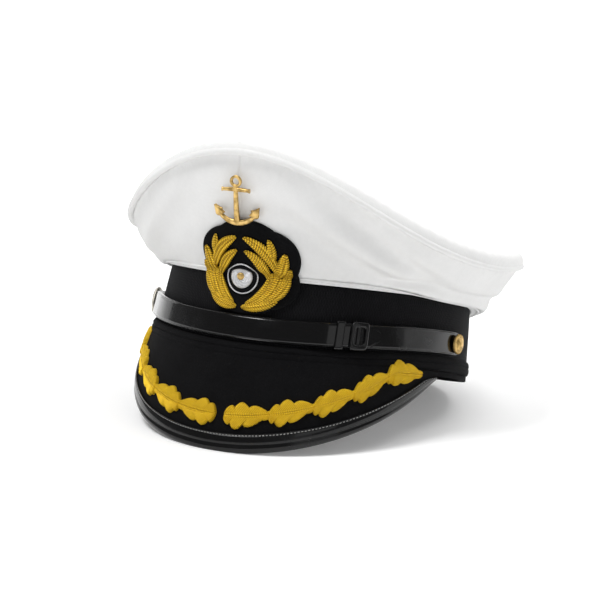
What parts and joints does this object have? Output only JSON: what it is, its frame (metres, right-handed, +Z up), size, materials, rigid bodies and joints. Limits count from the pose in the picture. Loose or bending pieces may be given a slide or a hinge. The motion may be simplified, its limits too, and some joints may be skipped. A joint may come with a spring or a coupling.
{
  "type": "peaked cap",
  "caption": "Naval officer's peaked cap with a white crown, black band, buckled chin strap, bound cloth peak and raised gold leaf embroidery.",
  "frame": {"origin": "middle of the cap's footprint box, on the surface that it rests on", "axes": "+Z up; the peak faces -Y; +X is the wearer's left"},
  "size_m": [0.2238, 0.2684, 0.1536],
  "materials": {
    "white_cotton": "matt fine twill",
    "black_mohair": "ribbed lozenge weave",
    "black_wool": "milled wool",
    "black_felt": "felt",
    "patent_leather": "high gloss",
    "gold_thread": "satin stitch",
    "gilt_brass": "polished gilt",
    "silver_wire": "bullion wire",
    "blue_cloth": "felt"
  },
  "bodies": {
    "root": {"crown_side": "white_cotton", "crown_hem": "white_cotton", "crown_top": "white_cotton", "crown_piping": "white_cotton", "head_band": "black_mohair", "lower_welt": "black_wool", "base_strip": "black_wool", "peak": "black_wool", "peak_binding": "patent_leather", "peak_spray_right": "gold_thread", "peak_spray_left": "gold_thread", "strap_long": "patent_leather", "strap_short": "patent_leather", "strap_keeper": "patent_leather", "strap_buckle": "patent_leather", "button_right": "gilt_brass", "button_left": "gilt_brass", "badge_patch": "black_felt", "wreath_right": "gold_thread", "wreath_left": "gold_thread", "cockade_ring": "silver_wire", "cockade_ground": "blue_cloth", "cockade_disc": "silver_wire", "anchor": "gilt_brass"}
  },
  "joints": []
}
